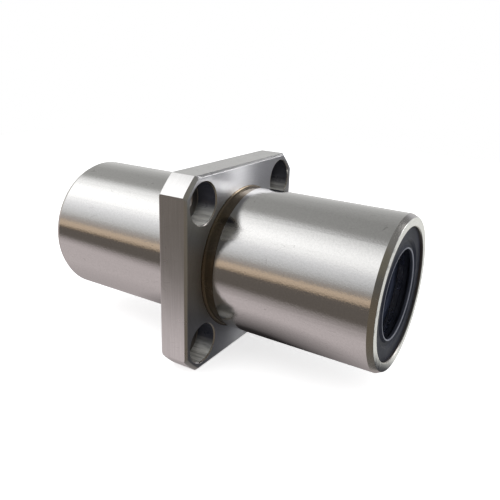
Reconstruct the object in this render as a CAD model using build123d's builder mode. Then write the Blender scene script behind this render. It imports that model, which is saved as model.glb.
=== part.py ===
from build123d import *
import os
from math import acos, cos, degrees, radians, sin

os.makedirs("parts", exist_ok=True)

# Long linear ball bearing for a 16 mm shaft, with a square flange at its middle.
# The bore axis lies along X and the counterbored side of the flange faces +X.
# The origin is on the bore axis, midway through the flange. +Z is up.

# Shaft and balls, in millimetres
shaft_diameter = 16.0
ball_diameter = 2.381
shaft_play = 0.01  # from a loaded ball to the shaft
raceway_play = 0.01  # from a loaded ball to its raceway
ball_gap = 0.05  # between two balls that follow each other
circuits_per_cage = 4
balls_per_row = 9
balls_per_turn = 2

# Outer sleeve
sleeve_diameter = 28.0
sleeve_length = 70.0
end_chamfer_length = 1.0  # along the axis
end_chamfer_depth = 0.5
bore_mouth_chamfer = 0.15
raceway_land_width = 2.8
raceway_lead_in = 0.2
relief_groove_width = 2.4
relief_groove_depth = 0.3
relief_groove_fillet = 0.5

# Flange
flange_width = 37.0
flange_thickness = 6.0
turned_edge_break = 0.6
milled_edge_break = 0.4
bolt_count = 4
bolt_hole_diameter = 4.5
counterbore_diameter = 7.5
counterbore_depth = 4.1
counterbore_edge_break = 0.2
counterbore_wall = 1.25  # from a counterbore to the sleeve's surface, and to the flange's corner

# Ball cages
cage_shaft_clearance = 0.25
cage_sleeve_clearance = 0.1
cage_land_clearance = 0.15
cage_end_clearance = 0.1
cage_middle_gap = 0.2
cage_bore_chamfer = 0.3
track_clearance = 0.06
return_floor = 0.5  # wall between a return track and the cage's bore
return_play = 0.11  # from a returning ball to the sleeve

# Seals and the rings behind them
seal_recess = 0.5
seal_thickness = 2.2
seal_rim_width = 1.7
seal_shoulder_width = 1.2  # of the wider band that stops against a step in the sleeve
seal_shoulder_depth = 0.6
seal_web_thickness = 0.8
seal_web_setback = 0.35
seal_lip_width = 0.45
seal_lip_length = 0.6
seal_groove_floor = 0.35  # thickness left at the root of the lip
ring_seal_gap = 0.1
ring_thickness = 1.1
ring_width = 1.6
ring_groove_depth = 0.5
ring_groove_clearance = 0.05
ring_opening = 5.0

# Radii
shaft_radius = shaft_diameter / 2
ball_radius = ball_diameter / 2
sleeve_radius = sleeve_diameter / 2
track_radius = ball_radius + track_clearance
load_row_radius = shaft_radius + shaft_play + ball_radius
raceway_radius = load_row_radius + ball_radius + raceway_play
cage_bore_radius = shaft_radius + cage_shaft_clearance
return_row_radius = cage_bore_radius + return_floor + track_radius
sleeve_bore_radius = return_row_radius + ball_radius + return_play
cage_radius = sleeve_bore_radius - cage_sleeve_clearance
cage_channel_radius = raceway_radius - cage_land_clearance
ring_groove_radius = sleeve_bore_radius + ring_groove_depth
seal_seat_radius = sleeve_bore_radius + seal_shoulder_depth
bolt_circle_radius = sleeve_radius + counterbore_wall + counterbore_diameter / 2
flange_corner_radius = bolt_circle_radius + counterbore_diameter / 2 + counterbore_wall

# Stations along the axis, counted from the middle of the flange to either end
sleeve_end = sleeve_length / 2
flange_face = flange_thickness / 2
seal_face = sleeve_end - seal_recess
seal_back = seal_face - seal_thickness
seal_shoulder = seal_face - seal_shoulder_width
ring_face = seal_back - ring_seal_gap
ring_back = ring_face - ring_thickness
cage_outer_end = ring_back - cage_end_clearance
cage_inner_end = cage_middle_gap / 2
cage_length = cage_outer_end - cage_inner_end
cage_centre = (cage_outer_end + cage_inner_end) / 2

# One ball circuit: a load row, a return row and a half-circle turn at each end.
# The loop lies in one plane, from the load row's line to the return row's line.
ball_pitch = ball_diameter + ball_gap
row_length = balls_per_row * ball_pitch
turn_step = 180 / balls_per_turn
turn_radius = ball_pitch / (2 * sin(radians(turn_step / 2)))
row_spread = degrees(
    acos(
        (load_row_radius**2 + return_row_radius**2 - (2 * turn_radius) ** 2)
        / (2 * load_row_radius * return_row_radius)
    )
)
circuit_step = 360 / circuits_per_cage

# The front cage's load rows stand level with the corners of the flange, and the rear
# cage's rows stand between them, so that the shaft is carried all round.
first_circuit_angle = {1: 45.0, -1: 45.0 + circuit_step / 2}
side_names = {1: "front", -1: "rear"}


def on_axis(x, radius, angle):
    # The point at a station along the axis, a radius and an angle from +Y towards +Z.
    return Vector(x, radius * cos(radians(angle)), radius * sin(radians(angle)))


def loop_section(x, angle):
    # The plane across a circuit at x: local X runs from the load row to the return row,
    # local Y points to the bore, and the origin is midway between the rows.
    load = on_axis(x, load_row_radius, angle)
    back = on_axis(x, return_row_radius, angle + row_spread)
    return Plane(origin=(load + back) / 2, x_dir=back - load, z_dir=(1, 0, 0))


def circle_edges(shape, radius, station=None):
    # The circular edges of one radius, all along the axis or at one distance from its middle.
    circles = shape.edges().filter_by(GeomType.CIRCLE)
    found = circles.filter_by(lambda edge: abs(edge.radius - radius) < 0.001)
    if station is None:
        return found
    return found.filter_by(lambda edge: abs(abs(edge.arc_center.X) - station) < 0.001)


def circuit_angles(side):
    first = first_circuit_angle[side]
    return [first + number * circuit_step for number in range(circuits_per_cage)]


def flange_blank():
    # A disc turned to the corner diameter, then milled square.
    with BuildPart() as square:
        with BuildSketch(Plane.YZ.offset(-flange_face)):
            Rectangle(flange_width, flange_width)
        extrude(amount=flange_thickness)
        chamfer(square.edges().filter_by(Axis.X, reverse=True), milled_edge_break)
    with BuildPart() as blank:
        with BuildSketch(Plane.YZ.offset(-flange_face)):
            Circle(flange_corner_radius)
        extrude(amount=flange_thickness)
        chamfer(blank.edges().filter_by(GeomType.CIRCLE), turned_edge_break)
        add(square.part, mode=Mode.INTERSECT)
    return blank.part


def relief_groove(side):
    # The undercut beside the flange, cut from the sleeve so that a housing seats flush.
    floor = sleeve_radius - relief_groove_depth
    near, far = flange_face, flange_face + relief_groove_width
    with BuildSketch(Plane.XY) as profile:
        Polygon(
            (side * near, floor),
            (side * (far - relief_groove_depth), floor),
            (side * far, sleeve_radius),
            (side * far, sleeve_radius + relief_groove_depth),
            (side * near, sleeve_radius + relief_groove_depth),
            align=None,
        )
    return profile.sketch


def raceway_lands(side):
    # The raised strips inside the sleeve that the loaded balls roll on.
    start = side * cage_centre - row_length / 2
    rooted = ring_groove_radius
    with BuildPart() as lands:
        with BuildSketch(Plane.YZ.offset(start)):
            with PolarLocations((cage_channel_radius + rooted) / 2, circuits_per_cage, first_circuit_angle[side]):
                Rectangle(rooted - cage_channel_radius, raceway_land_width)
            Circle(raceway_radius, mode=Mode.SUBTRACT)
        extrude(amount=row_length)
        chamfer(circle_edges(lands, raceway_radius), raceway_lead_in)
    return lands.part


with BuildPart() as outer_sleeve:
    with BuildSketch(Plane.XY):
        Polygon(
            (-sleeve_end, 0),
            (-sleeve_end, sleeve_radius - end_chamfer_depth),
            (-sleeve_end + end_chamfer_length, sleeve_radius),
            (sleeve_end - end_chamfer_length, sleeve_radius),
            (sleeve_end, sleeve_radius - end_chamfer_depth),
            (sleeve_end, 0),
            align=None,
        )
    revolve(axis=Axis.X)
    for side in (1, -1):
        revolve(relief_groove(side), axis=Axis.X, mode=Mode.SUBTRACT)
    add(flange_blank())
    groove_floor = sleeve_radius - relief_groove_depth
    fillet(circle_edges(outer_sleeve, groove_floor, flange_face), relief_groove_fillet)
    with Locations(Plane.YZ.offset(flange_face)):
        with PolarLocations(bolt_circle_radius, bolt_count, 180 / bolt_count):
            CounterBoreHole(bolt_hole_diameter / 2, counterbore_diameter / 2, counterbore_depth)
    with BuildSketch(Plane.YZ.offset(flange_face)):
        with PolarLocations(bolt_circle_radius, bolt_count, 180 / bolt_count):
            Circle(counterbore_diameter / 2 + counterbore_edge_break)
    extrude(amount=-counterbore_edge_break, taper=45, mode=Mode.SUBTRACT)
    with BuildSketch(Plane.YZ.offset(-sleeve_end)):
        Circle(sleeve_bore_radius)
    extrude(amount=sleeve_length, mode=Mode.SUBTRACT)
    for side in (1, -1):
        with BuildSketch(Plane.YZ.offset(side * sleeve_end)):
            Circle(seal_seat_radius)
        extrude(amount=side * (seal_shoulder - sleeve_end), mode=Mode.SUBTRACT)
        ring_groove_middle = side * (ring_face + ring_back) / 2
        with BuildSketch(Plane.YZ.offset(ring_groove_middle)):
            Circle(ring_groove_radius)
        extrude(amount=ring_thickness / 2 + ring_groove_clearance, both=True, mode=Mode.SUBTRACT)
        add(raceway_lands(side))
    chamfer(circle_edges(outer_sleeve, seal_seat_radius, sleeve_end), bore_mouth_chamfer)
outer_sleeve.part.label = "outer_sleeve"
export_step(outer_sleeve.part, "parts/outer_sleeve.step")


def seal(side):
    # A moulded ring that presses into the sleeve's mouth, with a lip that wipes the shaft.
    rim_bore = sleeve_bore_radius - seal_rim_width
    web_face = seal_face - seal_web_setback
    web_back = web_face - seal_web_thickness
    lip_root = shaft_radius + seal_lip_width
    lip_back = seal_face - seal_lip_length
    outline = [
        (seal_back, rim_bore),
        (seal_back, sleeve_bore_radius),
        (seal_shoulder, sleeve_bore_radius),
        (seal_shoulder, seal_seat_radius),
        (seal_face, seal_seat_radius),
        (seal_face, rim_bore),
        (web_face, rim_bore - seal_web_setback),
        (web_face, lip_root + seal_web_setback / 2),
        (seal_face, lip_root - seal_web_setback / 2),
        (seal_face, shaft_radius),
        (lip_back, shaft_radius),
        (web_back, lip_root + seal_groove_floor),
        (web_back, rim_bore),
    ]
    with BuildPart() as ring:
        with BuildSketch(Plane.XY):
            Polygon(*[(side * x, radius) for x, radius in outline], align=None)
        revolve(axis=Axis.X)
    return ring.part


def retaining_ring(side):
    # A flat spring ring, sprung into its groove, that keeps the cage in. It opens downwards.
    outer = ring_groove_radius - ring_groove_clearance
    opening_angle = degrees(ring_opening / outer)
    first_angle = radians(opening_angle / 2 - 90)
    section = Plane(origin=(0, 0, 0), x_dir=(1, 0, 0), z_dir=(0, -sin(first_angle), cos(first_angle)))
    with BuildPart() as ring:
        with BuildSketch(section):
            with Locations((side * (ring_face + ring_back) / 2, outer - ring_width / 2)):
                Rectangle(ring_thickness, ring_width)
        revolve(axis=Axis.X, revolution_arc=360 - opening_angle)
    return ring.part


def ball_track(side, angle):
    # The groove for one circuit: round under the balls and open to the sleeve.
    centre = side * cage_centre
    mouth = cage_radius
    with BuildPart() as track:
        with BuildSketch(loop_section(centre - row_length / 2, angle)):
            with Locations((-turn_radius, 0), (turn_radius, 0)):
                Circle(track_radius)
            with Locations((-turn_radius, -mouth / 2), (turn_radius, -mouth / 2)):
                Rectangle(2 * track_radius, mouth)
        extrude(amount=row_length)
        for end in (1, -1):
            section = loop_section(centre + end * row_length / 2, angle)
            with BuildSketch(section):
                with Locations((turn_radius, 0)):
                    Circle(track_radius)
                with Locations((turn_radius, -mouth / 2)):
                    Rectangle(2 * track_radius, mouth)
            revolve(axis=Axis(section.origin, -end * section.y_dir), revolution_arc=180)
    return track.part


def cage(side):
    # One moulded cage with a land channel and a ball track for each circuit.
    start = cage_inner_end if side > 0 else -cage_outer_end
    channel_depth = cage_radius - cage_channel_radius
    channel_width = raceway_land_width + 2 * cage_land_clearance
    with BuildPart() as body:
        with BuildSketch(Plane.YZ.offset(start)):
            Circle(cage_radius)
            Circle(cage_bore_radius, mode=Mode.SUBTRACT)
        extrude(amount=cage_length)
        chamfer(circle_edges(body, cage_bore_radius), cage_bore_chamfer)
        with BuildSketch(Plane.YZ.offset(start)):
            with PolarLocations(cage_radius, circuits_per_cage, first_circuit_angle[side]):
                Rectangle(3 * channel_depth, channel_width)
            Circle(cage_channel_radius, mode=Mode.SUBTRACT)
        extrude(amount=cage_length, mode=Mode.SUBTRACT)
        for angle in circuit_angles(side):
            add(ball_track(side, angle), mode=Mode.SUBTRACT)
    return body.part


def row_points(side, angle, radius):
    # Ball centres in a straight row, spaced evenly about the middle of the cage.
    first = side * cage_centre - (balls_per_row - 1) * ball_pitch / 2
    return [on_axis(first + number * ball_pitch, radius, angle) for number in range(balls_per_row)]


def turn_points(side, angle, end):
    # Ball centres on the half circle at one end of a circuit.
    section = loop_section(side * cage_centre + end * row_length / 2, angle)
    points = []
    for number in range(balls_per_turn):
        swung = radians((number + 0.5) * turn_step)
        across = -turn_radius * cos(swung) * section.x_dir
        along = end * turn_radius * sin(swung) * section.z_dir
        points.append(section.origin + across + along)
    return points


def ball_group(points):
    with BuildPart() as balls:
        with Locations(*points):
            Sphere(ball_radius)
    return balls.part


for side, side_name in side_names.items():
    pieces = {
        "seal": seal(side),
        "retaining_ring": retaining_ring(side),
        "ball_cage": cage(side),
    }
    for number, angle in enumerate(circuit_angles(side), start=1):
        circuit = f"circuit_{number}"
        pieces[f"{circuit}_load_row"] = ball_group(row_points(side, angle, load_row_radius))
        pieces[f"{circuit}_return_row"] = ball_group(row_points(side, angle + row_spread, return_row_radius))
        pieces[f"{circuit}_outer_turn"] = ball_group(turn_points(side, angle, side))
        pieces[f"{circuit}_inner_turn"] = ball_group(turn_points(side, angle, -side))
    for piece_name, piece in pieces.items():
        piece.label = f"{side_name}_{piece_name}"
        export_step(piece, f"parts/{piece.label}.step")
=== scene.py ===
from math import acos, asin, cos, pi, radians, sin, tan

import bmesh
import bpy
from mathutils import Euler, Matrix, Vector
from mathutils.geometry import delaunay_2d_cdt


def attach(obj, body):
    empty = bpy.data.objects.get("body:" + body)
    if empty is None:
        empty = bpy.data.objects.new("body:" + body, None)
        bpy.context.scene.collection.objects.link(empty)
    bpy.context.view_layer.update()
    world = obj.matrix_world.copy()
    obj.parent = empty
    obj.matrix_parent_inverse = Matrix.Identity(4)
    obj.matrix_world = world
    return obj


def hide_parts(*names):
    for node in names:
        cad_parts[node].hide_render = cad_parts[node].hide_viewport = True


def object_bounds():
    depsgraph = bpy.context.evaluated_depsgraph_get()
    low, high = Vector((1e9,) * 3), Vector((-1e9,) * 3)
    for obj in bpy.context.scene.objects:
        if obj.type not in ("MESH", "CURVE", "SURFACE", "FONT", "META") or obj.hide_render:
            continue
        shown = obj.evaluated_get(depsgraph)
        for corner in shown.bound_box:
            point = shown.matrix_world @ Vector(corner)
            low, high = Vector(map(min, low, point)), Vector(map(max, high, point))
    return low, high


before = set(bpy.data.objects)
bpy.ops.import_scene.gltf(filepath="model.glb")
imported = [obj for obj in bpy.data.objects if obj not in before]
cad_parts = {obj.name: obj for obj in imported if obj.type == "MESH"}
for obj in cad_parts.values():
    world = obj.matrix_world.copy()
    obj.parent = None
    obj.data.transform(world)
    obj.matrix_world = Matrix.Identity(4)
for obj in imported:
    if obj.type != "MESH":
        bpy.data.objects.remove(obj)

mm = 0.001
scene = bpy.context.scene
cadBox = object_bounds()


class Tree:
    # A short hand for node trees: each call adds a node or two and wires their inputs
    def __init__(self, nodeTree):
        self.tree = nodeTree

    def add(self, kind, inputs=None, **settings):
        node = self.tree.nodes.new(kind)
        for name, value in settings.items():
            setattr(node, name, value)
        for key, value in (inputs or {}).items():
            self.feed(node.inputs[key], value)
        return node

    def feed(self, socket, value):
        if isinstance(value, bpy.types.NodeSocket):
            self.tree.links.new(value, socket)
        else:
            socket.default_value = value

    def math(self, operation, first, second=0.0):
        return self.add("ShaderNodeMath", {0: first, 1: second}, operation=operation).outputs[0]

    def times(self, first, second):
        return self.math("MULTIPLY", first, second)

    def vector(self, operation, *values, output="Vector"):
        node = self.add("ShaderNodeVectorMath", dict(enumerate(values)), operation=operation)
        return node.outputs[output]

    def remap(self, value, low, high, newLow=0.0, newHigh=1.0):
        inputs = {"Value": value, "From Min": low, "From Max": high}
        inputs.update({"To Min": newLow, "To Max": newHigh})
        return self.add("ShaderNodeMapRange", inputs).outputs["Result"]

    def mixColor(self, factor, first, second, blend="MIX"):
        inputs = {0: factor, 6: first, 7: second}
        return self.add("ShaderNodeMix", inputs, data_type="RGBA", blend_type=blend).outputs[2]

    def noise(self, vector, scale, detail, roughness=0.5, output="Fac"):
        inputs = {"Vector": vector, "Scale": scale, "Detail": detail, "Roughness": roughness}
        return self.add("ShaderNodeTexNoise", inputs).outputs[output]

    def bump(self, height, depth, strength=1.0, **more):
        # depth is in mm
        inputs = {"Height": height, "Strength": strength, "Distance": depth * mm, **more}
        return self.add("ShaderNodeBump", inputs).outputs[0]

    def ramp(self, value, stops):
        node = self.add("ShaderNodeValToRGB", {"Fac": value})
        elements = node.color_ramp.elements
        elements.remove(elements[1])
        elements[0].position, elements[0].color = stops[0]
        for position, color in stops[1:]:
            elements.new(position).color = color
        return node.outputs["Color"]


def startTree(name):
    material = bpy.data.materials.new(name)
    material.use_nodes = True
    material.node_tree.nodes.clear()
    return material, Tree(material.node_tree)


# Camera, as the photograph was taken

cameraLook = {
    "place": (57.09, -88.05, 38.01),  # mm
    "turn": (70.431, -2.019, 31.571),  # degrees
    "lens": 39.872,  # mm
    "sensorWidth": 36.0,  # mm
    "clip": (0.001, 50.0),  # metres
}


def makeCamera():
    data = bpy.data.cameras.new("photoCamera")
    data.sensor_width = cameraLook["sensorWidth"]
    data.lens = cameraLook["lens"]
    data.clip_start, data.clip_end = cameraLook["clip"]
    camera = bpy.data.objects.new("photoCamera", data)
    camera.location = Vector(cameraLook["place"]) * mm
    camera.rotation_euler = Euler([radians(angle) for angle in cameraLook["turn"]], "XYZ")
    scene.collection.objects.link(camera)
    scene.camera = camera


makeCamera()
scene.view_settings.view_transform = "Standard"
print("camera ready")


# Studio: white paper all round, and bands of wall, window and table that only the metal sees.
# Heights and directions are parts of a unit vector, and lengths are in metres.

studioLook = {
    "floorHalf": 0.27,
    "floorGap": 0.00002,  # under the part
    "floorColor": (0.86, 0.86, 0.87, 1.0),
    "floorLift": 0.62,  # added for the camera alone, so that the floor reads as white paper
    "keyPlace": (-0.15, -0.25, 0.45),
    "keySize": 0.28,
    "keyPower": 0.3,
    "bandGain": 3.6,
    # How far the window's edge and the table's edge lean along the bore axis
    "skewReference": 0.45,
    "skewAbove": 0.78,
    "skewBelow": 1.45,
    # The bands above a height darken towards the front end, over this reach each way
    "gainAlongAxis": 0.55,
    "gainReach": 0.3,
    "gainHeight": 0.1,
    "endFade": (-0.14, -0.02),  # directions along the axis where the end's bands take over
    # The table in the metal: its tone close by and further off, and the distance from the axis
    "tableNear": (0.66, 0.59, 0.59, 1.0),
    "tableFar": (0.15, 0.13, 0.115, 1.0),
    "tableFade": (0.0285, 0.050),
    "tableLean": 0.2,
    "tableBehind": 1.6,  # the table fades this much sooner behind the part
    "tableSeen": (-0.06, 0.02),  # rays that go towards the rear end see it
    # The tube's shade on the table, straight under it
    "tubeShade": (0.004, 0.018),
    "tubeShadeTone": 0.68,
    # The flange's shade on the table, and its spread along the axis and across
    "shadeMiddle": (-0.005, -0.003, 0.0),
    "shadeSpread": (0.017, 0.013),
    "shadeFade": (0.7, 1.85),
    "shadeTone": 0.05,
    # A sheet past the end that lights the end face, and the rays that see it
    "paperTone": (0.96, 0.96, 0.91, 1.0),
    "paperStart": (0.028, 0.034),
    "paperSide": (0.006, 0.011),
    "paperSeen": (-0.42, -0.35),
    # A tall window behind the part, for the turned face: degrees from +X towards +Y, and heights
    "windowSides": (43.5, 46.5, 58.5, 61.5),
    "windowHeights": (0.0, 0.06, 0.56, 0.66),
    "windowTone": (5.0, 5.0, 5.05),
    # Degrees round the bore axis from +Y towards +Z, and the colour there
    "bands": [
        (-180, (0.60, 0.47, 0.35)),
        (-178, (0.52, 0.40, 0.295)),
        (-175.5, (0.16, 0.125, 0.095)),
        (-172.5, (0.11, 0.088, 0.07)),
        (-169, (0.105, 0.088, 0.074)),
        (-158, (0.16, 0.14, 0.125)),
        (-153, (0.21, 0.18, 0.165)),
        (-147, (0.44, 0.39, 0.38)),
        (-139, (0.64, 0.56, 0.56)),
        (-110, (0.62, 0.56, 0.56)),
        (-88, (0.55, 0.48, 0.49)),
        (-12, (0.74, 0.72, 0.71)),
        (4, (0.70, 0.70, 0.69)),
        (28, (0.52, 0.52, 0.51)),
        (52, (0.39, 0.39, 0.38)),
        (76, (0.40, 0.40, 0.39)),
        (82, (0.46, 0.46, 0.45)),
        (88, (0.76, 0.76, 0.76)),
        (94, (1.06, 1.06, 1.06)),
        (110, (1.46, 1.46, 1.46)),
        (119, (1.55, 1.55, 1.55)),
        (129, (1.41, 1.41, 1.41)),
        (141, (1.03, 1.03, 1.05)),
        (154, (0.76, 0.76, 0.77)),
        (161, (0.60, 0.59, 0.58)),
        (164.5, (0.44, 0.42, 0.40)),
        (167, (0.48, 0.43, 0.40)),
        (170.5, (0.36, 0.32, 0.285)),
        (173, (0.64, 0.51, 0.39)),
        (176, (0.74, 0.58, 0.43)),
        (180, (0.62, 0.48, 0.355)),
    ],
    # The same towards the front end, where the room is dark below and on the camera's side
    "endBands": [
        (-180, (0.14, 0.115, 0.085)),
        (-120, (0.17, 0.145, 0.115)),
        (-80, (0.16, 0.15, 0.14)),
        (-50, (0.06, 0.06, 0.065)),
        (-30, (0.06, 0.06, 0.065)),
        (-16, (0.14, 0.14, 0.15)),
        (0, (0.58, 0.58, 0.62)),
        (14, (0.56, 0.56, 0.60)),
        (26, (0.22, 0.22, 0.23)),
        (88, (0.20, 0.20, 0.20)),
        (98, (0.17, 0.16, 0.13)),
        (128, (0.15, 0.14, 0.11)),
        (150, (0.09, 0.09, 0.09)),
        (180, (0.14, 0.115, 0.085)),
    ],
}


def makeWorld():
    look = studioLook
    world = bpy.data.worlds.new("studioWorld")
    scene.world = world
    world.use_nodes = True
    world.node_tree.nodes.clear()
    tree = Tree(world.node_tree)
    direction = tree.add("ShaderNodeTexCoord").outputs["Generated"]
    axes = tree.add("ShaderNodeSeparateXYZ", {0: direction}).outputs
    gain = look["bandGain"]

    def toned(color):
        return [part / gain for part in color] + [1.0]

    def bandRamp(name, value):
        stops = [((degree + 180) / 360, toned(color)) for degree, color in look[name]]
        return tree.ramp(value, stops)

    def between(value, start, full, fading, end):
        rise, fall = tree.remap(value, start, full), tree.remap(value, fading, end, 1.0, 0.0)
        return tree.times(rise, fall)

    angle = tree.math("ARCTAN2", axes["Z"], axes["Y"])
    along = tree.math("ADD", axes["X"], look["skewReference"])
    above = tree.times(tree.math("MAXIMUM", axes["Z"], 0.0), look["skewAbove"])
    below = tree.times(tree.math("MINIMUM", axes["Z"], 0.0), -look["skewBelow"])
    lean = tree.times(along, tree.math("ADD", above, below))
    turn = tree.remap(tree.math("SUBTRACT", angle, lean), -pi, pi)
    reach = look["gainReach"]
    held = tree.math("MINIMUM", tree.math("MAXIMUM", along, -reach), reach)
    darker = tree.times(held, look["gainAlongAxis"])
    isHigh = tree.math("GREATER_THAN", axes["Z"], look["gainHeight"])
    light = tree.math("SUBTRACT", 1.0, tree.times(darker, isHigh))
    sideBands = tree.mixColor(1.0, bandRamp("bands", turn), light, "MULTIPLY")
    endBands = bandRamp("endBands", tree.remap(angle, -pi, pi))
    around = tree.mixColor(tree.remap(axes["X"], *look["endFade"]), sideBands, endBands)
    side = tree.times(tree.math("ARCTAN2", axes["Y"], axes["X"]), 180 / pi)
    wide = between(side, *look["windowSides"])
    tall = between(axes["Z"], *look["windowHeights"])
    room = tree.mixColor(tree.times(wide, tall), around, toned(look["windowTone"]))
    bands = tree.add("ShaderNodeBackground", {"Color": room, "Strength": gain})
    plain = tree.add("ShaderNodeBackground", {"Color": (1, 1, 1, 1), "Strength": 1.0})
    isGlossy = tree.add("ShaderNodeLightPath").outputs["Is Glossy Ray"]
    parts = {0: isGlossy, 1: plain.outputs[0], 2: bands.outputs[0]}
    mixed = tree.add("ShaderNodeMixShader", parts)
    tree.add("ShaderNodeOutputWorld", {"Surface": mixed.outputs[0]})


def tableColor(tree, place, axes):
    # What the metal sees of the table: paler close by, with the shade of tube and flange on it
    look = studioLook
    behind = tree.times(axes["Y"], look["tableBehind"])
    across = tree.math("MAXIMUM", behind, tree.times(axes["Y"], -1.0))
    away = tree.math("ADD", across, tree.times(axes["X"], look["tableLean"]))
    fade = tree.remap(away, *look["tableFade"])
    table = tree.mixColor(fade, look["tableNear"], look["tableFar"])
    underTube = tree.remap(across, *look["tubeShade"], look["tubeShadeTone"], 1.0)
    table = tree.mixColor(1.0, table, underTube, "MULTIPLY")
    spread = [1 / part for part in look["shadeSpread"]] + [0.0]
    shaped = tree.vector("MULTIPLY", tree.vector("ADD", place, look["shadeMiddle"]), spread)
    far = tree.vector("LENGTH", shaped, output="Value")
    underFlange = tree.remap(far, *look["shadeFade"], look["shadeTone"], 1.0)
    return tree.mixColor(1.0, table, underFlange, "MULTIPLY")


def makeFloorPaper():
    # White paper for the camera. The metal sees the table towards the rear, the sheet past the
    # front end, and else nothing of it.
    look = studioLook
    paper, tree = startTree("floorPaper")
    path = tree.add("ShaderNodeLightPath").outputs
    place = tree.add("ShaderNodeTexCoord").outputs["Object"]
    axes = tree.add("ShaderNodeSeparateXYZ", {0: place}).outputs
    incoming = tree.add("ShaderNodeNewGeometry").outputs["Incoming"]
    cameFrom = tree.add("ShaderNodeSeparateXYZ", {0: incoming}).outputs["X"]
    goesBack = tree.remap(cameFrom, *look["tableSeen"])
    along = tree.remap(axes["X"], *look["paperStart"])
    across = tree.remap(axes["Y"], *look["paperSide"])
    onSheet = tree.times(tree.times(along, across), tree.remap(cameFrom, *look["paperSeen"]))
    seen = tree.mixColor(goesBack, look["paperTone"], tableColor(tree, place, axes))
    mirrored = tree.add("ShaderNodeEmission", {"Color": seen, "Strength": 1.0})
    nothing = tree.add("ShaderNodeBsdfTransparent")
    share = tree.math("MAXIMUM", goesBack, onSheet)
    parts = {0: share, 1: nothing.outputs[0], 2: mirrored.outputs[0]}
    metalView = tree.add("ShaderNodeMixShader", parts)
    matte = tree.add("ShaderNodeBsdfDiffuse", {"Color": look["floorColor"]})
    lift = tree.times(path["Is Camera Ray"], look["floorLift"])
    glow = tree.add("ShaderNodeEmission", {"Color": (1, 1, 1, 1), "Strength": lift})
    both = tree.add("ShaderNodeAddShader", {0: matte.outputs[0], 1: glow.outputs[0]})
    parts = {0: path["Is Glossy Ray"], 1: both.outputs[0], 2: metalView.outputs[0]}
    view = tree.add("ShaderNodeMixShader", parts)
    tree.add("ShaderNodeOutputMaterial", {"Surface": view.outputs[0]})
    return paper


def makeFloor():
    half = studioLook["floorHalf"]
    height = cadBox[0][2] - studioLook["floorGap"]
    mesh = bpy.data.meshes.new("paleFloor")
    corners = ((-half, -half), (half, -half), (half, half), (-half, half))
    mesh.from_pydata([(x, y, height) for x, y in corners], [], [(0, 1, 2, 3)])
    floor = bpy.data.objects.new("paleFloor", mesh)
    scene.collection.objects.link(floor)
    mesh.materials.append(makeFloorPaper())


def makeKeyLamp():
    lamp = bpy.data.lights.new("keyLamp", "AREA")
    lamp.shape = "DISK"
    lamp.size = studioLook["keySize"]
    lamp.energy = studioLook["keyPower"]
    holder = bpy.data.objects.new("keyLamp", lamp)
    place = Vector(studioLook["keyPlace"])
    holder.location = place
    holder.visible_glossy = False
    holder.rotation_euler = (-place).to_track_quat("-Z", "Y").to_euler()
    scene.collection.objects.link(holder)


makeWorld()
makeFloor()
makeKeyLamp()
print("studio ready")


# Meshes: rings of points round the bore axis, joined by quads

samePoint = 0.0005 * mm
noLength = 0.0002 * mm
sameReach = 0.001  # in mm, like the next
sameStation = 1e-9
sameFlatPoint = 1e-7


def ringPoint(x, radius, angle):
    return Vector((x, radius * cos(angle), radius * sin(angle))) * mm


def turnsRound(count):
    return [2 * pi * number / count for number in range(count)]


def rounded(corners, steps=3):
    # Corners are (x, radius, rounding) in mm, and each rounding becomes a short arc
    points = []
    for index, (x, radius, rounding) in enumerate(corners):
        here = Vector((x, radius))
        if rounding == 0:
            points.append((x, radius))
            continue
        toBefore = (Vector(corners[index - 1][:2]) - here).normalized()
        toAfter = (Vector(corners[(index + 1) % len(corners)][:2]) - here).normalized()
        opening = toBefore.angle(toAfter)
        centre = here + (toBefore + toAfter).normalized() * (rounding / sin(opening / 2))
        first = here + toBefore * (rounding / tan(opening / 2)) - centre
        last = here + toAfter * (rounding / tan(opening / 2)) - centre
        for step in range(steps + 1):
            way = first.slerp(last, step / steps).normalized() * rounding
            points.append(tuple(centre + way))
    return points


def addRing(bm, points):
    return [bm.verts.new(point) for point in points]


def joinRings(bm, first, second, slot=0):
    for index in range(len(first)):
        after = (index + 1) % len(first)
        face = bm.faces.new((first[index], first[after], second[after], second[index]))
        face.material_index = slot


def finishMesh(bm, name, materials, sharpAngle=35):
    bmesh.ops.remove_doubles(bm, verts=bm.verts, dist=samePoint)
    bmesh.ops.dissolve_degenerate(bm, dist=noLength, edges=bm.edges)
    bmesh.ops.recalc_face_normals(bm, faces=bm.faces)
    mesh = bpy.data.meshes.new(name)
    bm.to_mesh(mesh)
    bm.free()
    for material in materials:
        mesh.materials.append(material)
    mesh.polygons.foreach_set("use_smooth", [True] * len(mesh.polygons))
    mesh.set_sharp_from_angle(angle=radians(sharpAngle))
    piece = bpy.data.objects.new(name, mesh)
    scene.collection.objects.link(piece)
    weights = piece.modifiers.new("evenShading", "WEIGHTED_NORMAL")
    weights.keep_sharp = True
    return piece


# Materials. Places on a surface are object coordinates in mm, and noises are given as
# scale, detail and roughness.

noiseSeen = (0.3, 0.7)  # the part of a noise's range that shows, where nothing else is given

# Which way the tool lines run: how many per mm or radian across them, along and to the side
toolWays = {
    "axis": (("X", 22.0), ("angle", 2.0), ("reach", 0.5)),
    "outwards": (("reach", 7.0), ("angle", 2.0), ("X", 0.5)),
    "sideways": (("X", 8.0), ("Y", 0.12), ("Z", 0.12)),
    "hole": (("Y", 1.7), ("Z", 1.7), ("X", 0.15)),
}

wearLook = {
    "lines": (1.0, 3.0, 0.7),
    "linesSeen": (0.35, 0.65),
    "patches": (0.32, 4.0, 0.5),  # vary the roughness
    "specks": (2.8, 3.0, 0.7),  # vary the colour, and make the pits
    "specksSeen": (0.38, 0.62),
    "lineStrength": 0.6,
    "turnOfStretch": 0.25,  # turns the highlight's stretch across the tool lines
}

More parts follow.
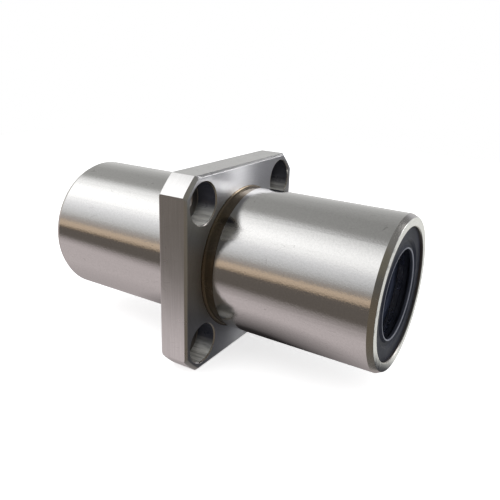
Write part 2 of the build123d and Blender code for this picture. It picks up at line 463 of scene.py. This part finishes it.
scratchLook = {
    # Scratches are the edges of long, bent cells, in the spots where a slow noise is high
    "wander": (0.25, 1.0, 0.5),
    "wanderBy": (3.0, 3.0, 3.0),
    "turn": (0.4, 0.9, 0.6),  # radians
    "stretch": (0.12, 1.0, 1.0),
    "cells": 0.55,
    "width": 0.012,
    "where": (0.45, 1.0, 0.5),
    "whereSeen": (0.58, 0.66),
    "tone": (0.3, 0.29, 0.28, 1.0),
    "strength": 0.5,
    "rough": 0.15,
}

steelLook = {
    # way: a row of toolWays. rough and vary: roughness and how much it varies. bump and pits:
    # heights in mm of the tool lines and of fine pits. stretch: anisotropy. grain and lines: how
    # much they darken the colour. metal: metallic, where it isn't 1.
    "ground": {
        "way": "axis", "color": (0.66, 0.655, 0.645), "rough": 0.10, "vary": 0.012,
        "bump": 0.0001, "pits": 0.012, "stretch": 0.5, "grain": 0.12, "lines": 0.03,
    },
    "turned": {
        "way": "outwards", "color": (0.62, 0.62, 0.63), "rough": 0.34, "vary": 0.02,
        "bump": 0.0002, "stretch": 0.9, "grain": 0.06, "lines": 0.10,
    },
    "milled": {
        "way": "sideways", "color": (0.78, 0.775, 0.77), "rough": 0.3, "vary": 0.03,
        "bump": 0.0010, "stretch": 0.6, "grain": 0.06, "lines": 0.16,
    },
    "chamfer": {
        "way": "outwards", "color": (0.66, 0.64, 0.60), "rough": 0.24, "vary": 0.03,
        "bump": 0.0004, "stretch": 0.6, "grain": 0.06, "lines": 0.06,
    },
    "bore": {
        "way": "axis", "color": (0.30, 0.28, 0.26), "rough": 0.32, "vary": 0.04,
        "bump": 0.001, "stretch": 0.5, "grain": 0.1, "lines": 0.1,
    },
    "groove": {
        "way": "axis", "color": (0.25, 0.205, 0.15), "rough": 0.24, "vary": 0.06,
        "bump": 0.001, "stretch": 0.7, "grain": 0.3, "lines": 0.2,
    },
    # Painted light and shade: the wall that faces down and to the camera's side is painted a dark
    # shade colour, and the wall that faces up and away is painted bright, by the way each wall
    # faces
    "hole": {
        "way": "hole", "color": (1.0, 0.99, 0.94), "rough": 0.30, "vary": 0.04,
        "bump": 0.004, "stretch": 0.9, "grain": 0.1, "lines": 0.62, "metal": 0.2,
        "shade": (0.035, 0.037, 0.05, 1.0), "lightFrom": (0.0, 0.85, 0.5),
        "lightSeen": (-0.72, 0.12),
    },
    "rim": {
        "way": "outwards", "color": (0.74, 0.74, 0.73), "rough": 0.24, "vary": 0.03,
        "bump": 0.0004, "stretch": 0.3, "grain": 0.06, "lines": 0.1,
    },
    "spring": {
        "way": "outwards", "color": (0.38, 0.39, 0.44), "rough": 0.28, "vary": 0.06,
        "bump": 0.0008, "stretch": 0.5, "grain": 0.1, "lines": 0.1,
    },
}


def startMaterial(name):
    material, tree = startTree(name)
    shader = tree.add("ShaderNodeBsdfPrincipled")
    tree.add("ShaderNodeOutputMaterial", {"Surface": shader.outputs[0]})
    return material, tree, shader


def startGroup(name, kind, inputs, outputs):
    # inputs and outputs give each socket's name and kind
    group = bpy.data.node_groups.new(name, kind)
    for way, sockets in (("INPUT", inputs), ("OUTPUT", outputs)):
        for label, socketKind in sockets.items():
            group.interface.new_socket(
                name=label, in_out=way, socket_type="NodeSocket" + socketKind)
    tree = Tree(group)
    given, result = tree.add("NodeGroupInput").outputs, tree.add("NodeGroupOutput").inputs
    return group, tree, given, result


def surfacePlace(tree):
    place = tree.add("ShaderNodeTexCoord").outputs["Object"]
    inMm = {0: place, "Scale": 1 / mm}
    return tree.add("ShaderNodeVectorMath", inMm, operation="SCALE").outputs[0]


def surfaceMeasures(tree, place):
    # The three coordinates, and the distance from the bore axis
    axes = tree.add("ShaderNodeSeparateXYZ", {0: place}).outputs
    measures = {axis: axes[axis] for axis in "XYZ"}
    squares = tree.math("ADD", tree.times(axes["Y"], axes["Y"]), tree.times(axes["Z"], axes["Z"]))
    measures["reach"] = tree.math("SQRT", squares)
    return measures


def makeToolLines():
    # Tool lines that run fast along one direction and slowly along the others, and the metal's
    # own grain, in patches and in specks
    group, tree, given, result = startGroup(
        "toolLines", "ShaderNodeTree",
        {"Across": "Float", "Along": "Float", "Side": "Float", "Vector": "Vector"},
        {"Lines": "Float", "Patches": "Float", "Specks": "Float"})
    ways = {0: given["Across"], 1: given["Along"], 2: given["Side"]}
    place = tree.add("ShaderNodeCombineXYZ", ways).outputs[0]
    tree.feed(result["Lines"], tree.noise(place, *wearLook["lines"]))
    tree.feed(result["Patches"], tree.noise(given["Vector"], *wearLook["patches"]))
    tree.feed(result["Specks"], tree.noise(given["Vector"], *wearLook["specks"]))
    return group


def makeScratches():
    # Short handling scratches, a few of them, lying at many angles
    look = scratchLook
    group, tree, given, result = startGroup(
        "handlingScratches", "ShaderNodeTree", {"Vector": "Vector"}, {"Mask": "Float"})
    wander = tree.noise(given["Vector"], *look["wander"], output="Color")
    moved = tree.vector("ADD", given["Vector"], tree.vector("MULTIPLY", wander, look["wanderBy"]))
    turns = {0: moved, "Rotation": look["turn"], "Scale": look["stretch"]}
    turned = tree.add("ShaderNodeMapping", turns).outputs[0]
    spots = {"Vector": turned, "Scale": look["cells"]}
    cells = tree.add("ShaderNodeTexVoronoi", spots, feature="DISTANCE_TO_EDGE").outputs["Distance"]
    lines = tree.remap(cells, 0.0, look["width"], 1.0, 0.0)
    where = tree.remap(tree.noise(given["Vector"], *look["where"]), *look["whereSeen"])
    tree.feed(result["Mask"], tree.times(lines, where))
    return group


toolLines = makeToolLines()
handlingScratches = makeScratches()


def steelColor(tree, look, lines, scratches):
    def darker(share):
        return [part * (1 - share) for part in look["color"]] + [1.0]

    specks = tree.remap(lines["Specks"], *wearLook["specksSeen"])
    speckled = tree.mixColor(specks, darker(look["grain"]), darker(0))
    seen = tree.remap(lines["Lines"], *wearLook["linesSeen"])
    lined = tree.mixColor(seen, darker(look["lines"]), speckled)
    scratched = tree.times(scratches, scratchLook["strength"])
    worn = tree.mixColor(scratched, lined, scratchLook["tone"])
    if "shade" not in look:
        return worn
    # Painted light and shade: where the surface's normal turns away from a given way, the colour
    # fades to a dark painted shade, so one side of a wall reads lit and the other shaded
    normal = tree.add("ShaderNodeNewGeometry").outputs["Normal"]
    facing = tree.vector("DOT_PRODUCT", normal, look["lightFrom"], output="Value")
    return tree.mixColor(tree.remap(facing, *look["lightSeen"]), look["shade"], worn)


def makeSteel(name):
    look = steelLook[name]
    material, tree, shader = startMaterial(name + "Steel")
    place = surfacePlace(tree)
    measures = surfaceMeasures(tree, place)
    measures["angle"] = tree.math("ARCTAN2", measures["Z"], measures["Y"])
    counts = {"Vector": place}
    for socket, (measure, count) in zip(("Across", "Along", "Side"), toolWays[look["way"]]):
        counts[socket] = tree.times(measures[measure], count)
    lines = tree.add("ShaderNodeGroup", counts, node_tree=toolLines).outputs
    marks = tree.add("ShaderNodeGroup", {"Vector": place}, node_tree=handlingScratches)
    scratches = marks.outputs["Mask"]
    tree.feed(shader.inputs["Base Color"], steelColor(tree, look, lines, scratches))
    shader.inputs["Metallic"].default_value = look.get("metal", 1.0)
    shader.inputs["Anisotropic"].default_value = look["stretch"]
    if look["way"] == "hole":
        along = tree.add("ShaderNodeCombineXYZ", {0: 1.0, 1: 0.0, 2: 0.0})
    else:
        shader.inputs["Anisotropic Rotation"].default_value = wearLook["turnOfStretch"]
        along = tree.add("ShaderNodeTangent", direction_type="RADIAL", axis="X")
    tree.feed(shader.inputs["Tangent"], along.outputs[0])
    low, high = look["rough"] - look["vary"], look["rough"] + look["vary"]
    rough = tree.remap(lines["Patches"], *noiseSeen, low, high)
    rougher = tree.times(scratches, scratchLook["rough"])
    tree.feed(shader.inputs["Roughness"], tree.math("ADD", rough, rougher))
    height = tree.math("SUBTRACT", lines["Lines"], scratches)
    bump = tree.bump(height, look["bump"], wearLook["lineStrength"])
    if "pits" in look:
        bump = tree.bump(lines["Specks"], look["pits"], Normal=bump)
    tree.feed(shader.inputs["Normal"], bump)
    return material


sleeveSteels = ("ground", "turned", "milled", "chamfer", "bore", "groove", "hole", "rim")
slots = {name: number for number, name in enumerate(sleeveSteels)}
steels = {name: makeSteel(name) for name in sleeveSteels}
print("steels ready")


# Outer sleeve: one lathe profile for the tube, with the square flange and its counterbores
# between. Lengths are in mm and angles in degrees.

sleeve = {
    "radius": 14.0,
    "halfLength": 35.0,
    "endChamferLength": 1.0,
    "endChamferDepth": 0.5,
    "mouthChamfer": 0.15,
    "seatRadius": 11.901,
    "seatStart": 33.3,
    "boreRadius": 11.301,
    "ringGrooveRadius": 11.801,
    "ringGroove": (31.05, 32.25),
    "raceway": (4.6105, 26.4895),
    "racewayRadius": 10.401,
    "racewayHalfWidth": 1.4,
    "racewayLeadIn": 0.2,
    "racewayFoot": 0.97,  # where a land's own points stand beside it, as a share of its foot
    "clearOfRaceway": 0.9,  # no other column of points stands this near to a land's edge
    "racewayAngles": {1: (45, 135, 225, 315), -1: (0, 90, 180, 270)},
    "grooveRadius": 13.7,
    "grooveEnd": 5.4,
    "grooveFillet": 0.5,
    "filletSteps": 6,
    "edgeRounding": 0.07,
    "smallRounding": 0.04,
    "nearEdge": 0.02,  # a face this near to an edge counts as past it
    "pointsRound": 192,
}

flange = {
    "halfWidth": 18.5,
    "halfThickness": 3.0,
    "cornerRadius": 24.0,
    "turnedBreak": 0.6,
    "milledBreak": 0.4,
    "edgeRounding": 0.08,
    "sidePoints": 48,
    "cornerPoints": 16,
    "boltCircle": 19.0,
    "boltAngles": (45, 135, 225, 315),
    "counterboreRadius": 3.75,
    "counterboreDepth": 4.1,
    "counterboreBreak": 0.2,
    "boltHoleRadius": 2.25,
    "holeRounding": 0.05,
    "floorRounding": 0.12,
    "holeLead": 0.3,  # past the rim, only to aim the rim's rounding
    "belowChamfer": 0.06,  # the chamfer's finish ends this deep under it
    "holePoints": 64,
}


def turnBetween(first, second):
    return abs((first - second + pi) % (2 * pi) - pi)


def sleeveColumns():
    # Angles of the points round the tube: beside a raceway land, on it, and the land's side
    half = sleeve["racewayHalfWidth"]
    atFoot = asin(half / sleeve["boreRadius"])
    atTop = asin(half / sleeve["racewayRadius"])
    lands = []
    for side, angles in sleeve["racewayAngles"].items():
        lands += [(radians(middle), side) for middle in angles]
    edges = []
    for middle, side in lands:
        for sign in (-1, 1):
            foot, top = middle + sign * atFoot, middle + sign * atTop
            edges.append((foot, foot, 0))
            edges.append((middle + sign * atFoot * sleeve["racewayFoot"], top, side))
    columns = list(edges)
    for angle in turnsRound(sleeve["pointsRound"]):
        near = min(turnBetween(angle, edge[0]) for edge in edges)
        if near < radians(sleeve["clearOfRaceway"]):
            continue
        under = [side for middle, side in lands if turnBetween(angle, middle) < atFoot]
        columns.append((angle, angle, under[-1] if under else 0))
    return sorted((column[0] % (2 * pi), column[1], column[2]) for column in columns)


def tubeOutline(side):
    # From the mouth of the bore, over the end face, along the ground surface to the flange
    end, soft, small = sleeve["halfLength"], sleeve["edgeRounding"], sleeve["smallRounding"]
    outside, floor = sleeve["radius"], sleeve["grooveRadius"]
    seat, fillet = sleeve["seatRadius"], sleeve["grooveFillet"]
    centre = (flange["halfThickness"] + fillet, floor + fillet)
    points = rounded([
        (end - sleeve["mouthChamfer"], seat, 0),
        (end, seat + sleeve["mouthChamfer"], small),
        (end, outside - sleeve["endChamferDepth"], soft),
        (end - sleeve["endChamferLength"], outside, soft),
        (sleeve["grooveEnd"], outside, small),
        (sleeve["grooveEnd"] - outside + floor, floor, small),
        (centre[0], floor, 0),
    ])
    for step in range(1, sleeve["filletSteps"] + 1):
        turn = pi / 2 * step / sleeve["filletSteps"]
        points.append((centre[0] - fillet * sin(turn), centre[1] - fillet * cos(turn)))
    return [(side * x, radius) for x, radius in points]


def outlineSlot(x, radius):
    x, near = abs(x), sleeve["nearEdge"]
    if radius < sleeve["seatRadius"] + sleeve["mouthChamfer"] - near:
        return slots["bore"]
    if x > sleeve["halfLength"] - near:
        return slots["rim"]
    if x > sleeve["halfLength"] - sleeve["endChamferLength"] - near:
        return slots["chamfer"]
    return slots["ground"] if x > sleeve["grooveEnd"] else slots["groove"]


def insideRows(side):
    # (x, radius on a raceway land or None) from the middle of the tube to the mouth
    start, stop = sleeve["raceway"]
    lead, top = sleeve["racewayLeadIn"], sleeve["racewayRadius"]
    bore, groove = sleeve["boreRadius"], sleeve["ringGrooveRadius"]
    grooveStart, grooveStop = sleeve["ringGroove"]
    rows = [(start, bore, None), (start, bore, top + lead), (start + lead, bore, top)]
    rows += [(stop - lead, bore, top), (stop, bore, top + lead), (stop, bore, None)]
    rows += [(grooveStart, bore, None), (grooveStart, groove, None)]
    rows += [(grooveStop, groove, None), (grooveStop, bore, None)]
    rows += [(sleeve["seatStart"], bore, None), (sleeve["seatStart"], sleeve["seatRadius"], None)]
    return [(side * x, radius, land) for x, radius, land in rows]


def brokenEdge(width, chamfer):
    # From the flange's face, over its broken edge, to the middle of its side
    face, soft = flange["halfThickness"], flange["edgeRounding"]
    return rounded([
        (face, width - 2 * chamfer, 0),
        (face, width - chamfer, soft),
        (face - chamfer, width, soft),
        (0, width, 0),
    ])


def reachAt(x, width, chamfer):
    # How far a broken edge reaches at a distance x from the flange's middle
    line = brokenEdge(width, chamfer)[1:]
    before = [point for point in line if point[0] >= abs(x) - sameStation]
    after = [point for point in line if point[0] < abs(x) - sameStation]
    if not after:
        return before[-1][1] if before else width
    if not before:
        return line[0][1]
    (x0, r0), (x1, r1) = before[-1], after[0]
    return r0 + (r1 - r0) * (abs(x) - x0) / (x1 - x0)


def flangeOutline(x):
    # The square with turned corners, at a distance x from the flange's middle
    side = reachAt(x, flange["halfWidth"], flange["milledBreak"])
    radius = reachAt(x, flange["cornerRadius"], flange["turnedBreak"])
    meet = acos(side / radius)
    points = []
    for quarter in range(4):
        for step in range(flange["sidePoints"]):
            turn = -meet + 2 * meet * step / flange["sidePoints"]
            points.append((side / cos(turn), turn + quarter * pi / 2))
        for step in range(flange["cornerPoints"]):
            turn = meet + (pi / 2 - 2 * meet) * step / flange["cornerPoints"]
            points.append((radius, turn + quarter * pi / 2))
    return [ringPoint(x, reach, turn) for reach, turn in points]


def flangeStations():
    anyWidth = 10  # the stations are the same for each width
    stations = set()
    for chamfer in (flange["milledBreak"], flange["turnedBreak"]):
        stations.update(round(point[0], 4) for point in brokenEdge(anyWidth, chamfer)[1:-1])
    front = sorted(stations, reverse=True)
    return front + [-x for x in reversed(front)]


def holeRings(bm, angle):
    # The counterbore and the bolt hole, from the front face to the back face
    radius, hole = flange["counterboreRadius"], flange["boltHoleRadius"]
    face, edge = flange["halfThickness"], flange["counterboreBreak"]
    lead, soft = flange["holeLead"], flange["holeRounding"]
    floor = face - flange["counterboreDepth"]
    line = rounded([
        (face, radius + edge + lead, 0),
        (face, radius + edge, soft),
        (face - edge, radius, soft),
        (floor, radius, flange["floorRounding"]),
        (floor, hole, soft),
        (-face, hole, soft),
        (-face, hole + lead, 0),
    ])[1:-1]
    middle = ringPoint(0, flange["boltCircle"], radians(angle))
    turns = turnsRound(flange["holePoints"])
    rings = [addRing(bm, [middle + ringPoint(x, reach, turn) for turn in turns])
             for x, reach in line]
    for first, second, (x, reach) in zip(rings, rings[1:], line[1:]):
        kind = "hole" if abs(reach - radius) < sameReach else "bore"
        if x > face - edge - flange["belowChamfer"]:
            kind = "chamfer"
        joinRings(bm, first, second, slots[kind])
    return rings[0], rings[-1]


def fillFace(bm, loops, slot):
    # Fills the flat face inside the first loop, leaving the other loops open
    verts, edges, loopOf = [], [], []
    for number, loop in enumerate(loops):
        start, count = len(verts), len(loop)
        verts += loop
        loopOf += [number] * count
        edges += [(start + step, start + (step + 1) % count) for step in range(count)]
    flat = [Vector((vert.co.y, vert.co.z)) / mm for vert in verts]
    _, _, faces, origins, _, _ = delaunay_2d_cdt(flat, edges, [], 0, sameFlatPoint)
    for face in faces:
        corners = [origins[index][0] for index in face]
        around = {loopOf[corner] for corner in corners}
        if around == {0} or len(around) > 1:
            bm.faces.new([verts[corner] for corner in corners]).material_index = slot


def makeTube(bm):
    # Gives back the rings where the tube meets the flange, by side
    columns = sleeveColumns()
    turns = [column[0] for column in columns]
    mouths, roots = {}, {}
    for side in (1, -1):
        outline = tubeOutline(side)
        rings = [addRing(bm, [ringPoint(x, radius, turn) for turn in turns])
                 for x, radius in outline]
        for index in range(len(rings) - 1):
            x = (outline[index][0] + outline[index + 1][0]) / 2
            radius = (outline[index][1] + outline[index + 1][1]) / 2
            joinRings(bm, rings[index], rings[index + 1], outlineSlot(x, radius))
        mouths[side], roots[side] = rings[0], rings[-1]
    inner = []
    for side in (-1, 1):
        for x, radius, land in insideRows(side)[::side]:
            points = []
            for besideTurn, onTurn, landSide in columns:
                raised = land is not None and landSide == side
                reach, turn = (land, onTurn) if raised else (radius, besideTurn)
                points.append(ringPoint(x, reach, turn))
            inner.append(addRing(bm, points))
    inner = [mouths[-1], *inner, mouths[1]]
    for first, second in zip(inner, inner[1:]):
        joinRings(bm, first, second, slots["bore"])
    return roots


def makeSleeve():
    bm = bmesh.new()
    roots = makeTube(bm)
    sides = [addRing(bm, flangeOutline(x)) for x in flangeStations()]
    for first, second in zip(sides, sides[1:]):
        joinRings(bm, first, second, slots["milled"])
    fronts, backs = [], []
    for angle in flange["boltAngles"]:
        front, back = holeRings(bm, angle)
        fronts.append(front)
        backs.append(back)
    fillFace(bm, [sides[0], roots[1], *fronts], slots["turned"])
    fillFace(bm, [sides[-1], roots[-1], *backs], slots["turned"])
    piece = finishMesh(bm, "outerSleeve", steels.values())
    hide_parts("outer_sleeve")
    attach(piece, "sleeve")


makeSleeve()
print("outer sleeve ready")


# Seals: moulded rings with a lip that wipes the shaft, in mm from the bearing's middle and
# from its axis

sealLook = {
    "face": 34.5,
    "back": 32.3,
    "outside": 11.301,
    "shoulder": 33.3,
    "seatRadius": 11.901,
    "rimBore": 9.601,
    "webFace": 34.15,
    "webBack": 33.35,
    "lipRoot": 8.45,
    "lipRadius": 8.0,
    "lipBack": 33.9,
    "webSlope": 0.35,
    "lipSlope": 0.175,
    "pointsRound": 160,
    "sharpAngle": 50,
    # The lip's edge is paler: from a distance off the axis inwards, and on its face only
    "wornTone": (0.24, 0.25, 0.29, 1),
    "wornReach": (8.26, 8.16),
    "wornFace": (34.3, 34.42),
}

softLook = {
    # Two tones in clouds over a fine grain. rough: from, to. bump: height in mm and strength.
    "sealRubber": {
        "tones": ((0.024, 0.027, 0.038, 1), (0.036, 0.039, 0.052, 1)),
        "cloud": (0.35, 2.0, 0.5), "cloudSeen": (0.35, 0.7), "grain": (9.0, 5.0, 0.7),
        "rough": (0.40, 0.52), "specular": 0.06, "bump": (0.01, 0.4),
    },
    "cageResin": {
        "tones": ((0.036, 0.046, 0.080, 1), (0.048, 0.060, 0.100, 1)),
        "cloud": (0.3, 2.0, 0.5), "cloudSeen": (0.35, 0.65), "grain": (4.0, 4.0, 0.5),
        "rough": (0.55, 0.7), "specular": 0.25, "bump": (0.008, 0.3),
    },
}


def makeSoft(name):
    look = softLook[name]
    material, tree, shader = startMaterial(name)
    place = surfacePlace(tree)
    grain = tree.noise(place, *look["grain"])
    cloud = tree.remap(tree.noise(place, *look["cloud"]), *look["cloudSeen"])
    color = tree.mixColor(cloud, *look["tones"])
    if name == "sealRubber":
        color = paleLipEdge(tree, place, color)
    tree.feed(shader.inputs["Base Color"], color)
    tree.feed(shader.inputs["Roughness"], tree.remap(grain, *noiseSeen, *look["rough"]))
    shader.inputs["Specular IOR Level"].default_value = look["specular"]
    tree.feed(shader.inputs["Normal"], tree.bump(grain, *look["bump"]))
    return material


# A paler tone on the lip's edge, near the axis and on its face only
def paleLipEdge(tree, place, color):
    measures = surfaceMeasures(tree, place)
    inside = tree.remap(measures["reach"], *sealLook["wornReach"])
    outer = tree.remap(tree.math("ABSOLUTE", measures["X"]), *sealLook["wornFace"])
    return tree.mixColor(tree.times(inside, outer), color, sealLook["wornTone"])


def makeSeal(name, node, side, rubber):
    # Each corner is x, radius and rounding
    s = sealLook
    corners = [
        (s["back"], s["rimBore"], 0.1),
        (s["back"], s["outside"], 0.1),
        (s["shoulder"], s["outside"], 0),
        (s["shoulder"], s["seatRadius"], 0),
        (s["face"], s["seatRadius"], 0.1),
        (s["face"], s["rimBore"], 0.15),
        (s["webFace"], s["rimBore"] - s["webSlope"], 0.15),
        (s["webFace"], s["lipRoot"] + s["lipSlope"], 0.12),
        (s["face"], s["lipRoot"] - s["lipSlope"], 0.1),
        (s["face"], s["lipRadius"], 0.05),
        (s["lipBack"], s["lipRadius"], 0.08),
        (s["webBack"], s["lipRoot"] + s["webSlope"], 0.15),
        (s["webBack"], s["rimBore"], 0.2),
    ]
    bm = bmesh.new()
    turns = turnsRound(s["pointsRound"])
    rings = [addRing(bm, [ringPoint(side * x, radius, turn) for turn in turns])
             for x, radius in rounded(corners)]
    for first, second in zip(rings, rings[1:] + rings[:1]):
        joinRings(bm, first, second)
    piece = finishMesh(bm, name, [rubber], s["sharpAngle"])
    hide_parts(node)
    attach(piece, "sleeve")


sealRubber = makeSoft("sealRubber")
makeSeal("frontSeal", "front_seal", 1, sealRubber)
makeSeal("rearSeal", "rear_seal", -1, sealRubber)
print("seals ready")


# Cages and retaining rings keep their solids' shape, merged so that they shade evenly

mergedSharpAngle = 28


def mergedCopy(node, name, material):
    bm = bmesh.new()
    bm.from_mesh(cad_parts[node].data)
    bmesh.ops.remove_doubles(bm, verts=bm.verts, dist=samePoint)
    for face in bm.faces:
        face.material_index = 0
    piece = finishMesh(bm, name, [material], mergedSharpAngle)
    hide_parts(node)
    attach(piece, "sleeve")


cageResin = makeSoft("cageResin")
springSteel = makeSteel("spring")
for end in ("front", "rear"):
    mergedCopy(f"{end}_ball_cage", f"{end}BallCage", cageResin)
    mergedCopy(f"{end}_retaining_ring", f"{end}RetainingRing", springSteel)
print("cages and rings ready")


# Balls: one Geometry Nodes tree puts a ball on every point of a row or a turn

ballLook = {
    "diameter": 2.381,  # mm
    "ballsInRow": 9,
    "ballsInTurn": 2,
    "subdivisions": 2,
    "cloud": (1.2, 2.0, 0.5),
    "tones": ((0.60, 0.61, 0.62, 1), (0.72, 0.72, 0.72, 1)),
    "rough": (0.06, 0.12),
}


def makeBallSteel():
    material, tree, shader = startMaterial("ballSteel")
    cloud = tree.noise(surfacePlace(tree), *ballLook["cloud"])
    tree.feed(shader.inputs["Base Color"], tree.mixColor(cloud, *ballLook["tones"]))
    shader.inputs["Metallic"].default_value = 1.0
    rough = tree.remap(cloud, *noiseSeen, *ballLook["rough"])
    tree.feed(shader.inputs["Roughness"], rough)
    return material


def makeBallTree():
    group, tree, given, result = startGroup(
        "ballOnEachPoint", "GeometryNodeTree",
        {"Geometry": "Geometry", "Ball Radius": "Float", "Steel": "Material"},
        {"Geometry": "Geometry"})
    size = {"Radius": given["Ball Radius"], "Subdivisions": ballLook["subdivisions"]}
    ball = tree.add("GeometryNodeMeshIcoSphere", size).outputs["Mesh"]
    spots = tree.add("GeometryNodeMeshToPoints", {"Mesh": given["Geometry"]}).outputs[0]
    each = {"Points": spots, "Instance": ball}
    placed = tree.add("GeometryNodeInstanceOnPoints", each).outputs[0]
    real = tree.add("GeometryNodeRealizeInstances", {"Geometry": placed}).outputs[0]
    smooth = tree.add("GeometryNodeSetShadeSmooth", {"Geometry": real}).outputs[0]
    paint = {"Geometry": smooth, "Material": given["Steel"]}
    tree.feed(result["Geometry"], tree.add("GeometryNodeSetMaterial", paint).outputs[0])
    return group


def ballCentres(node, count):
    # The node's balls are equal runs of its mesh, so each centre is the middle of a run's box
    places = [vert.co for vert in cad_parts[node].data.vertices]
    size = len(places) // count
    centres = []
    for number in range(count):
        run = places[number * size:(number + 1) * size]
        lines = [[place[axis] for place in run] for axis in range(3)]
        centres.append([(min(line) + max(line)) / 2 for line in lines])
    return centres


def makeBalls(node, group, steel):
    count = ballLook["ballsInRow"] if node.endswith("row") else ballLook["ballsInTurn"]
    points = bpy.data.meshes.new(node + "_points")
    points.from_pydata(ballCentres(node, count), [], [])
    holder = bpy.data.objects.new(node + "_points", points)
    scene.collection.objects.link(holder)
    modifier = holder.modifiers.new("balls", "NODES")
    modifier.node_group = group
    for item in group.interface.items_tree:
        if item.name == "Ball Radius":
            modifier[item.identifier] = ballLook["diameter"] / 2 * mm
        elif item.name == "Steel":
            modifier[item.identifier] = steel
    ready = holder.evaluated_get(bpy.context.evaluated_depsgraph_get())
    mesh = bpy.data.meshes.new_from_object(ready)
    holder.modifiers.remove(modifier)
    bpy.data.objects.remove(holder)
    first, *others = node.split("_")
    name = first + "".join(word.capitalize() for word in others)
    piece = bpy.data.objects.new(name, mesh)
    scene.collection.objects.link(piece)
    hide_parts(node)
    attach(piece, node)


ballTree = makeBallTree()
ballSteel = makeBallSteel()
for nodeName in sorted(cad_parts):
    if "_circuit_" in nodeName:
        makeBalls(nodeName, ballTree, ballSteel)
print("balls ready")
